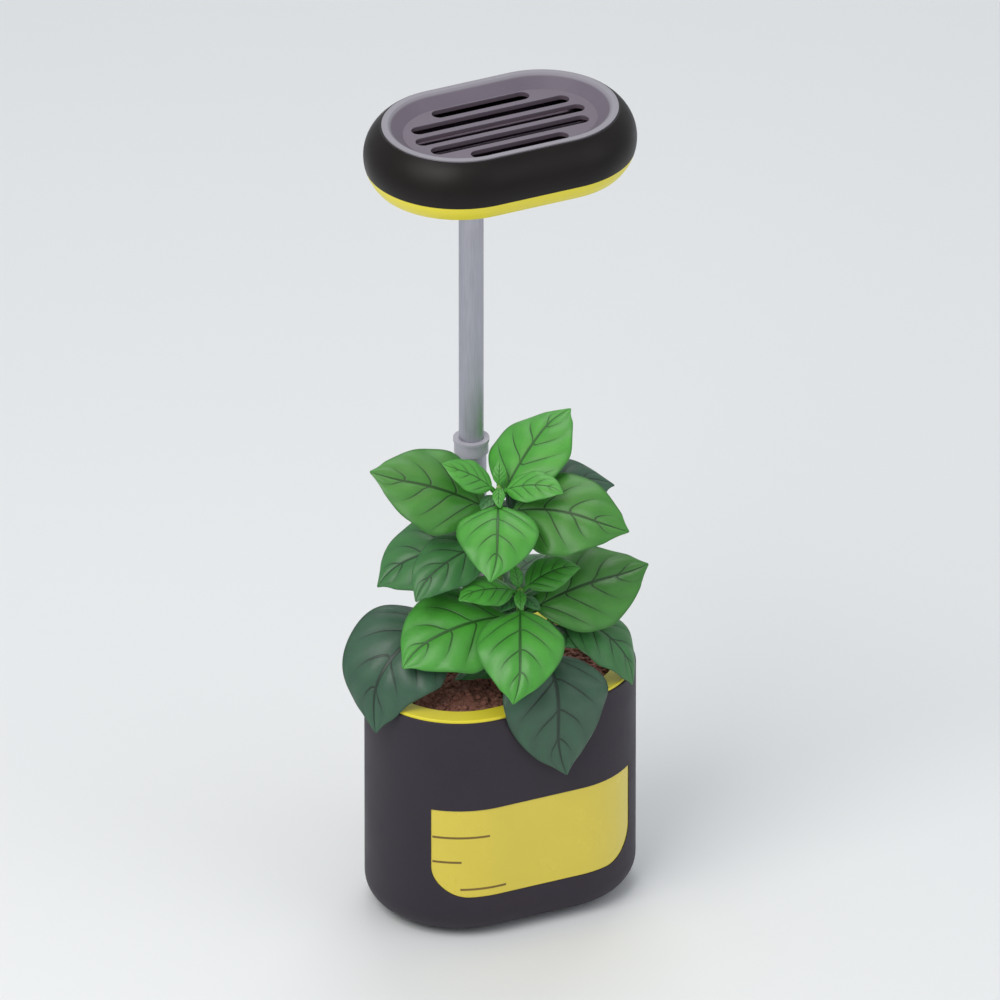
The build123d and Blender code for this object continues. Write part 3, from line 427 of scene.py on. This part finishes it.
def soil_finish():
    """Damp potting mix: dark crumbs with lighter fibre."""
    f = Finish("soil", soil_brown, 0.92)
    patch = f.spots(6 * mm, 5.0)
    crumb = f.spots(0.9 * mm, 4.0)
    dark = f.blend(f.between(crumb, 0.35, 0.65), soil_dark, soil_brown)
    mix = f.blend(f.spread(patch), dark, soil_brown)
    flecks = f.between(f.spots(1.4 * mm, 2.0), 0.66, 0.72)
    f.set("Base Color", f.blend(flecks, mix, soil_fleck))
    f.bump((f.spots(0.35 * mm, 5.0), 0.25 * mm))
    return f


def leaf_finish(name, light, deep, gloss):
    """Leaf skin read from its map: x runs across the leaf, and y from side vein to side vein. The
    vein creases are darkened as painted shade.
    """
    f = Finish(name, light, gloss, Coat_Weight=0.12, Coat_Roughness=0.3, Subsurface_Weight=0.12)
    f.set("Subsurface Radius", (0.3, 1.0, 0.2))
    f.set("Subsurface Scale", 0.8 * mm)
    leaf_map = f.node("UVMap", uv_map="leaf").outputs[0]
    parts = f.node("SeparateXYZ", [("Vector", leaf_map)])
    off = f.math("ABSOLUTE", f.math("MULTIPLY_ADD", parts.outputs["X"], 2.0, -1.0))
    count = f.math("MULTIPLY", parts.outputs["Y"], vein_spacings)
    near = f.math("PINGPONG", count, 0.5)
    line = f.between(near, vein_core, vein_edge, 1.0, 0.0, True)
    line = f.math("MULTIPLY", line, f.between(count, vein_last - 0.1, vein_last, 1.0, 0.0))
    reach = f.between(count, 0.0, vein_last, vein_reach, vein_reach_last)
    kept = f.between(off, f.math("SUBTRACT", reach, vein_fade), reach, 1.0, 0.0)
    side_vein = f.math("MULTIPLY", line, kept)
    midrib = f.between(off, midrib_core, midrib_edge, 1.0, 0.0, True)
    vein = f.math("MAXIMUM", midrib, side_vein)
    pillow = f.between(near, 0.0, 0.4, smooth=True)
    mottle = f.spots(6 * mm, 4.0)
    freckle = f.spots(0.9 * mm, 3.0)
    # Painted shade: the green darkens along the vein creases, and a random mottle varies it too.
    vein_crease_shade = f.between(pillow, 0.0, 1.0, 0.7, 1.0)
    crease_shade_and_mottle = f.math("MULTIPLY", vein_crease_shade, f.spread(mottle, 0.6, 1.0))
    skin = f.blend(f.math("MULTIPLY", crease_shade_and_mottle, f.spread(freckle, 0.85, 1.0)), deep, light)
    skin = f.blend(f.between(off, 0.88, 1.0, 0.0, 0.5, True), skin, lighter(deep, 0.7))
    # Painted shade: the midrib and side veins are darkened as shadowed creases.
    skin = f.blend(f.math("MULTIPLY", vein, 0.85), skin, lighter(deep, 0.28))
    underside = f.node("NewGeometry").outputs["Backfacing"]
    f.set("Base Color", f.blend(f.math("MULTIPLY", underside, 0.5), skin, lighter(light, 0.9)))
    f.set("Roughness", f.spread(mottle, gloss - 0.07, gloss + 0.07))
    f.bump((freckle, 0.05 * mm), (f.between(vein, 0.0, 1.0, 1.0, 0.0), 0.12 * mm))
    return f


def stem_finish():
    """Soft green stem, browner towards the soil."""
    f = Finish("stem", stem_green, 0.5, Subsurface_Weight=0.1)
    f.set("Subsurface Scale", 1 * mm)
    height = f.node("SeparateXYZ", [("Vector", f.place)]).outputs["Z"]
    ripe = f.between(height, rim * mm, (rim + ripe_height) * mm)
    streak = f.spots(0.4 * mm, 3.0, (1, 1, 14))
    green = f.blend(f.spread(streak), lighter(stem_green, 0.7), lighter(stem_green, 1.15))
    f.set("Base Color", f.blend(ripe, stem_brown, green))
    f.bump((streak, 0.08 * mm))
    return f


def glow_finish():
    """Frosted lens whose face glows under rows of lamps."""
    f = Finish("glow", lens_milk, 0.45)
    parts = f.node("SeparateXYZ", [("Vector", f.place)])
    across = f.math("PINGPONG", parts.outputs["X"], lamp_pitch_x)
    back = f.math("PINGPONG", parts.outputs["Y"], lamp_pitch_y)
    reach = f.math("ADD", f.math("POWER", across, 2.0), f.math("POWER", back, 2.0))
    spot = f.between(f.math("SQRT", reach), spot_core, spot_edge, 1.0, 0.0, True)
    f.set("Emission Color", f.blend(spot, lighter(glow_pink, 0.8), glow_warm))
    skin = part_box("light_lens")[0].z + glow_skin
    glow = f.between(parts.outputs["Z"], skin, skin + glow_skin, glow_strength, 0.0)
    f.set("Emission Strength", glow)
    f.bump((f.spots(0.3 * mm, 2.0), 0.02 * mm))
    return f


def grille_finish():
    """Moulded grille, paler on its top rim, with painted shade in its slots."""
    f = moulded("grille_grey", grille_grey, 0.5, relief=0.015 * mm, variation=0.10)
    height = f.node("SeparateXYZ", [("Vector", f.place)]).outputs["Z"]
    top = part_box("vent_grille")[1].z
    # The grille turns paler on its top rim.
    pale_top_rim = f.between(height, top - 0.9 * mm, top - 0.3 * mm, smooth=True)
    floor = top - grille_dish
    # Painted shade: below the slotted floor the grille turns dark.
    slot_shade_mask = f.between(height, floor - 0.5 * mm, floor - 0.2 * mm, 1.0, 0.0, True)
    body = f.shader.inputs["Base Color"].links[0].from_socket
    f.set("Base Color", f.blend(slot_shade_mask, f.blend(pale_top_rim, body, grille_rim), slot_painted_shade))
    return f


def floor_finish():
    """Plain pale studio floor."""
    f = Finish("studio", floor_pale, 0.8)
    deep, pale = lighter(floor_pale, 0.985), lighter(floor_pale, 1.015)
    f.set("Base Color", f.blend(f.spots(0.35, 3.0), deep, pale))
    return f


finishes = {
    "pot_black": moulded("pot_black", pot_black, 0.55, Specular_IOR_Level=0.3),
    "head_black": moulded(
        "head_black", head_black, 0.42, relief=0.012 * mm, Specular_IOR_Level=0.22,
    ),
    "planter_yellow": moulded("planter_yellow", yellow, 0.38, relief=0.008 * mm, variation=0.05),
    "window_yellow": moulded(
        "window_yellow", window_yellow, 0.24, relief=0.004 * mm, variation=0.025,
        Coat_Weight=0.4, Coat_Roughness=0.1,
    ),
    "mark_brown": moulded("mark_brown", mark_brown, 0.5, relief=0.01 * mm),
    "tank_milky": moulded("tank_milky", tank_milky, 0.3, relief=0.006 * mm, variation=0.04),
    "foot_rubber": moulded("foot_rubber", rubber_black, 0.85, grain=0.6 * mm, relief=0.06 * mm),
    "inner_black": moulded("inner_black", inner_black, 0.5),
    "button_grey": moulded("button_grey", button_grey, 0.45),
    "bush_white": moulded("bush_white", bush_white, 0.35, relief=0.008 * mm, variation=0.05),
    "collar_grey": moulded("collar_grey", collar_grey, 0.4, relief=0.01 * mm, variation=0.08),
    "grille_grey": grille_finish(),
    "led_white": moulded("led_white", led_amber, 0.25, variation=0.08),
    "led_red": moulded("led_red", led_red, 0.25, variation=0.08),
    "screw_steel": brushed("screw_steel", screw_steel, 0.3, (1, 1, 1)),
    "tube_grey": brushed("tube_grey", tube_grey, 0.5, (1, 1, 40)),
    "sink_metal": brushed("sink_metal", sink_dark, 0.5, (30, 1, 1)),
    "board_green": board_finish("board_green", board_green, board_track),
    "light_board": board_finish("light_board", light_board, light_track),
    "diffuser": glow_finish(),
    "wick_cotton": cotton_finish(),
    "soil_brown": soil_finish(),
    "stem_green": stem_finish(),
    "leaf_bright": leaf_finish("leaf_bright", leaf_bright, leaf_deep, 0.45),
    "leaf_fresh": leaf_finish("leaf_fresh", leaf_fresh, leaf_fresh_deep, 0.46),
    "leaf_mid": leaf_finish("leaf_mid", leaf_mid, leaf_shaded_deep, 0.48),
    "leaf_dark": leaf_finish("leaf_dark", leaf_dark, leaf_dark_deep, 0.5),
}
subparts = frame["record"]["subparts"]
record_slots = {subpart["node"]: subpart["material_slot"] for subpart in subparts}
for node, slot in record_slots.items():
    worn = nodes[node].data.materials
    worn.clear()
    worn.append(finishes[slot].material)


# Meshes
def new_piece(name, vertices, faces, *slots):
    """Mesh object that rides on the planter, in metres, wearing the finishes of these slots."""
    mesh = bpy.data.meshes.new(name)
    mesh.from_pydata(vertices, [], faces)
    for slot in slots:
        mesh.materials.append(finishes[slot].material)
    piece = bpy.data.objects.new(name, mesh)
    scene.collection.objects.link(piece)
    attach(piece, "planter")
    return piece


def smooth(piece):
    """Smooth shading all over a piece."""
    piece.data.polygons.foreach_set("use_smooth", [True] * len(piece.data.polygons))


# Plant
def leaf_spine(leaf, share):
    """Places along the midrib, with the directions across the leaf and out of its face."""
    rise = radians(leaf.rise)
    fall = radians(leaf.fall)
    bent = np.minimum(share, leaf.bend)
    pitch = rise + (fall - rise) * bent / leaf.bend
    arc = leaf.length * leaf.bend / (fall - rise)
    straight = leaf.length * (share - bent)
    stem = stems[leaf.stem]
    climb = (rim + leaf.height - stem_foot) / (rim + stem.tip - stem_foot)
    out = stem_foot_radius + (stem_tip_radius - stem_foot_radius) * climb + stem_gap
    out = out + arc * (np.sin(pitch) - sin(rise)) + straight * np.cos(pitch)
    up = arc * (cos(rise) - np.cos(pitch)) + straight * np.sin(pitch)
    heading = np.array((cos(radians(leaf.heading)), sin(radians(leaf.heading)), 0.0))
    across = np.array((-heading[1], heading[0], 0.0))
    upright = np.array((0.0, 0.0, 1.0))
    along = np.outer(np.cos(pitch), heading) + np.outer(np.sin(pitch), upright)
    face = np.cross(along, across)
    rolled = across * cos(radians(leaf.roll)) + face * sin(radians(leaf.roll))
    start = np.array((stem.x, stem.y, rim + leaf.height))
    spots = start + np.outer(out, heading) + np.outer(up, upright)
    return spots, rolled, np.cross(along, rolled)


def leaf_half_width(leaf, share):
    """Half width of a leaf: a thin stalk, then a pointed oval blade."""
    blade = np.clip((share - petiole_share) / (1 - petiole_share), 0.0, 1.0)
    taper = petiole_width * (1 - midrib_taper * np.clip(share, 0.0, 1.0))
    point = np.clip((blade - 1 + tip_share) / tip_share, 0.0, 1.0)
    full = np.abs(np.sin(pi * blade**blade_fullness)) ** blade_round * (1 - tip_pinch * point)
    return (taper + (leaf.width - petiole_width) * full) / 2


def leaf_veins(share, side, phase):
    """How many side veins leave the midrib between the stalk and each place."""
    off = np.abs(side)
    stray = vein_stray * (2 * phase - 1) * np.sign(side) * np.minimum(1.0, off / vein_meet)
    return (share - vein_lean * off - vein_curl * off**2) * vein_spacings - vein_first + stray


def leaf_relief(leaf, share, side, phase):
    """Height of the leaf's face over its midrib: cup, swellings, groove and wavy edge."""
    off = np.abs(side)
    swell = np.sin(pi * (leaf_veins(share, side, phase) % 1.0)) ** 0.8
    blade = np.clip((share - petiole_share) / (1 - petiole_share), 0.0, 1.0)
    full = np.sin(pi * blade**blade_fullness) ** 0.7
    pillow = quilt * swell * np.minimum(1.0, off / quilt_start) * (1 - off**4)
    wave = ripple * np.sin(2 * pi * (ripple_count * share + phase) + np.sign(side)) * off**3
    crease = -groove * np.exp(-((side / groove_width) ** 2))
    cup = leaf_cup * 2 * leaf_half_width(leaf, share) * side**2
    return leaf.width * (full * (pillow + wave + crease)) - cup


def leaf_skin(leaf, phase):
    """Vertices, faces and map places of one leaf: two skins that meet round the edge."""
    share = np.linspace(root_share, 1.0, rows_along + 1)
    side = np.linspace(-1.0, 1.0, 2 * rows_across + 1)
    spots, across, out = leaf_spine(leaf, share)
    half = leaf_half_width(leaf, share)
    grid_share, grid_side = np.meshgrid(share, side, indexing="ij")
    height = leaf_relief(leaf, grid_share, grid_side, phase)
    stalk = np.clip((petiole_share * stalk_end - share) / petiole_share, 0.0, 1.0)
    thick = blade_thickness + (stalk_thickness - blade_thickness) * stalk
    aside = hook * leaf.length * np.clip((share - 1 + hook_share) / hook_share, 0.0, 1.0) ** 2
    reach = half[:, None] * side[None, :] + leaf.turn * aside[:, None]
    outward = out[:, None, :]
    top = spots[:, None, :] + reach[..., None] * across[:, None, :] + height[..., None] * outward
    depth = thick[:, None] * (1 - edge_thinning * grid_side**2)
    bottom = top - depth[..., None] * outward
    wide = len(side)
    count = len(share) * wide
    veins = leaf_veins(grid_share, grid_side, phase) / vein_spacings
    places = np.stack([(grid_side + 1) / 2, veins], -1).reshape(-1, 2)
    faces = []
    for i in range(rows_along):
        for j in range(2 * rows_across):
            a = i * wide + j
            quad = (a, a + wide, a + wide + 1, a + 1)
            faces.append(quad)
            faces.append(tuple(k + count for k in reversed(quad)))
    edge = [i * wide for i in range(rows_along)]
    edge += [rows_along * wide + j for j in range(wide - 1)]
    edge += [i * wide + wide - 1 for i in range(rows_along, 0, -1)]
    edge += list(range(wide - 1, 0, -1))
    for a, b in zip(edge, edge[1:] + edge[:1]):
        faces.append((b, a, a + count, b + count))
    vertices = np.concatenate([top.reshape(-1, 3), bottom.reshape(-1, 3)])
    return vertices, faces, np.concatenate([places, places])


def leaf_piece(node, name, leaves):
    """All the leaves of one node as one piece."""
    rng = Random(node)
    own = record_slots[node]
    order = [own] + [tone for tone in leaf_tones if tone != own]
    vertices, faces, places, tones = [], [], [], []
    for leaf in leaves:
        skin, quads, mapped = leaf_skin(leaf, rng.random())
        start = sum(len(part) for part in vertices)
        faces += [tuple(start + corner for corner in quad) for quad in quads]
        tones += [order.index(leaf.tone)] * len(quads)
        vertices.append(skin)
        places.append(mapped)
    piece = new_piece(name, np.concatenate(vertices) * mm, faces, *order)
    piece.data.polygons.foreach_set("material_index", tones)
    corners = np.zeros(len(piece.data.loops), np.int32)
    piece.data.loops.foreach_get("vertex_index", corners)
    spread = np.concatenate(places)[corners]
    piece.data.uv_layers.new(name="leaf").data.foreach_set("uv", spread.ravel())
    smooth(piece)
    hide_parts(node)


def stem_piece():
    """Ribbed stems, a little wider where leaves leave them."""
    joints = [(leaf.stem, leaf.height) for leaves in foliage.values() for leaf in leaves]
    vertices, faces = [], []
    for name, stem in stems.items():
        start = len(vertices)
        levels = [rim + level for owner, level in joints if owner == name]
        for ring in range(stem_rings + 1):
            share = ring / stem_rings
            height = stem_foot + (rim + stem.tip - stem_foot) * share
            radius = stem_foot_radius + (stem_tip_radius - stem_foot_radius) * share
            near = sum(np.exp(-(((height - level) / knot_reach) ** 2)) for level in levels)
            radius *= 1 + knot_swell * min(near, knot_most)
            if ring == stem_rings:
                radius *= stem_close
            for step in range(stem_sides):
                angle = 2 * pi * step / stem_sides
                ribbed = radius * (1 + stem_rib * cos(4 * angle))
                x = stem.x + ribbed * cos(angle)
                y = stem.y + ribbed * sin(angle)
                vertices.append((x, y, height))
        for ring in range(stem_rings):
            for step in range(stem_sides):
                a = start + ring * stem_sides + step
                b = start + ring * stem_sides + (step + 1) % stem_sides
                faces.append((a, b, b + stem_sides, a + stem_sides))
        top = start + stem_rings * stem_sides
        faces.append(tuple(start + step for step in reversed(range(stem_sides))))
        faces.append(tuple(top + step for step in range(stem_sides)))
    piece = new_piece("stems", np.array(vertices) * mm, faces, "stem_green")
    smooth(piece)
    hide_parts("plant_stems")


for node, leaves in foliage.items():
    leaf_piece(node, node.replace("leaves", "foliage"), leaves)
stem_piece()


# Soil
def crumb_shape(divisions):
    """Vertices and faces of a small ball."""
    ball = bmesh.new()
    bmesh.ops.create_icosphere(ball, subdivisions=divisions, radius=1.0)
    vertices = np.array([vertex.co for vertex in ball.verts])
    faces = [tuple(vertex.index for vertex in face.verts) for face in ball.faces]
    ball.free()
    return vertices, faces


def soil_piece():
    """Loose soil: the plug with a lumpy top, strewn with crumbs."""
    plug = nodes["soil_plug"]
    low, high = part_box("soil_plug")
    rough = bpy.data.objects.new("rough_plug", plug.data.copy())
    scene.collection.objects.link(rough)
    remesh = rough.modifiers.new("Remesh", "REMESH")
    remesh.voxel_size = soil_voxel
    graph = bpy.context.evaluated_depsgraph_get()
    mesh = bpy.data.meshes.new_from_object(rough.evaluated_get(graph))
    bpy.data.objects.remove(rough)
    points = [vertex.co.copy() for vertex in mesh.vertices]
    normals = [vertex.normal.copy() for vertex in mesh.vertices]
    for i, (point, normal) in enumerate(zip(points, normals)):
        if normal.z > lump_facing:
            lumps = noise.fractal(point / lump_size, *lump_octaves)
            points[i] = point + Vector((0, 0, soil_lump * lumps))
    faces = [tuple(face.vertices) for face in mesh.polygons]
    bpy.data.meshes.remove(mesh)
    surface = BVHTree.FromPolygons(points, faces)

    def ground(x, y):
        """Place on the soil below a point, or nothing beside the soil."""
        return surface.ray_cast(Vector((x, y, high.z + ray_start)), Vector((0, 0, -1)))[0]

    rng = Random(11)
    shapes = {False: crumb_shape(1), True: crumb_shape(2)}
    vertices = [np.array(points)]
    total = len(points)
    for _ in range(crumb_count):
        size = crumb_size * (crumb_least + (1 - crumb_least) * rng.random() ** 3)
        x = rng.uniform(low.x + size, high.x - size)
        y = rng.uniform(low.y + size, high.y - size)
        spot = ground(x, y)
        room = crumb_clear * size
        beside = [ground(x + dx * room, y + dy * room) for dx, dy in four_ways]
        if spot is None or None in beside:
            continue
        ball, ball_faces = shapes[size > crumb_fine * crumb_size]
        jitter = np.array([crumb_corner + crumb_corner_range * rng.random() for _ in ball])
        across = crumb_wide + crumb_wide_range * rng.random()
        along = crumb_wide + crumb_wide_range * rng.random()
        upright = crumb_tall + crumb_tall_range * rng.random()
        squash = np.array([across, along, upright])
        turn = rng.uniform(0, 2 * pi)
        spin = np.array(((cos(turn), -sin(turn), 0), (sin(turn), cos(turn), 0), (0, 0, 1)))
        crumb = (ball * jitter[:, None] * squash * size) @ spin.T
        vertices.append(crumb + np.array(spot) + np.array((0, 0, crumb_lift * size)))
        faces += [tuple(corner + total for corner in face) for face in ball_faces]
        total += len(ball)
    piece = new_piece("soil_bed", np.concatenate(vertices), faces, "soil_brown")
    smooth(piece)
    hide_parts("soil_plug")


soil_piece()


# Studio
def studio_floor():
    """Wide pale floor."""
    corners = [(-floor_reach, -floor_reach, 0), (floor_reach, -floor_reach, 0),
               (floor_reach, floor_reach, 0), (-floor_reach, floor_reach, 0)]
    mesh = bpy.data.meshes.new("studio_floor")
    mesh.from_pydata(corners, [], [(0, 1, 2, 3)])
    mesh.materials.append(floor_finish().material)
    floor = bpy.data.objects.new("studio_floor", mesh)
    scene.collection.objects.link(floor)


def area_light(name, power, colour, azimuth, elevation, distance, size):
    """Square soft light aimed at the middle of the object."""
    lamp = bpy.data.lights.new(name, "AREA")
    lamp.size = size
    lamp.energy = power
    lamp.color = colour
    light = bpy.data.objects.new(name, lamp)
    scene.collection.objects.link(light)
    aim_from(light, azimuth, elevation, distance)


def aim_from(thing, azimuth, elevation, distance):
    """Puts a lamp or camera round the object, looking at its middle."""
    turn = radians(azimuth)
    tilt = radians(elevation)
    back = Vector((sin(turn) * cos(tilt), -cos(turn) * cos(tilt), sin(tilt)))
    middle = (cad_box[0] + cad_box[1]) / 2 + Vector((0, 0, view_lift))
    thing.location = middle + back * distance
    thing.rotation_mode = "QUATERNION"
    thing.rotation_quaternion = (-back).to_track_quat("-Z", "Y")


studio_floor()
area_light("key", key_power, key_warm, azimuth=-62, elevation=48, distance=1.1, size=0.7)
area_light("fill", fill_power, fill_cool, azimuth=40, elevation=28, distance=1.3, size=0.9)
area_light("back", back_power, (1, 1, 1), azimuth=150, elevation=55, distance=1.2, size=0.6)

world = bpy.data.worlds.new("studio")
scene.world = world
world.use_nodes = True
sky = world.node_tree.nodes["Background"]
sky.inputs["Color"].default_value = (*sky_pale, 1.0)
sky.inputs["Strength"].default_value = world_strength
scene.view_settings.view_transform = "Standard"

camera = bpy.data.objects.new("camera", bpy.data.cameras.new("camera"))
scene.collection.objects.link(camera)
camera.data.lens = view_lens
aim_from(camera, view_azimuth, view_elevation, view_distance)
scene.camera = camera
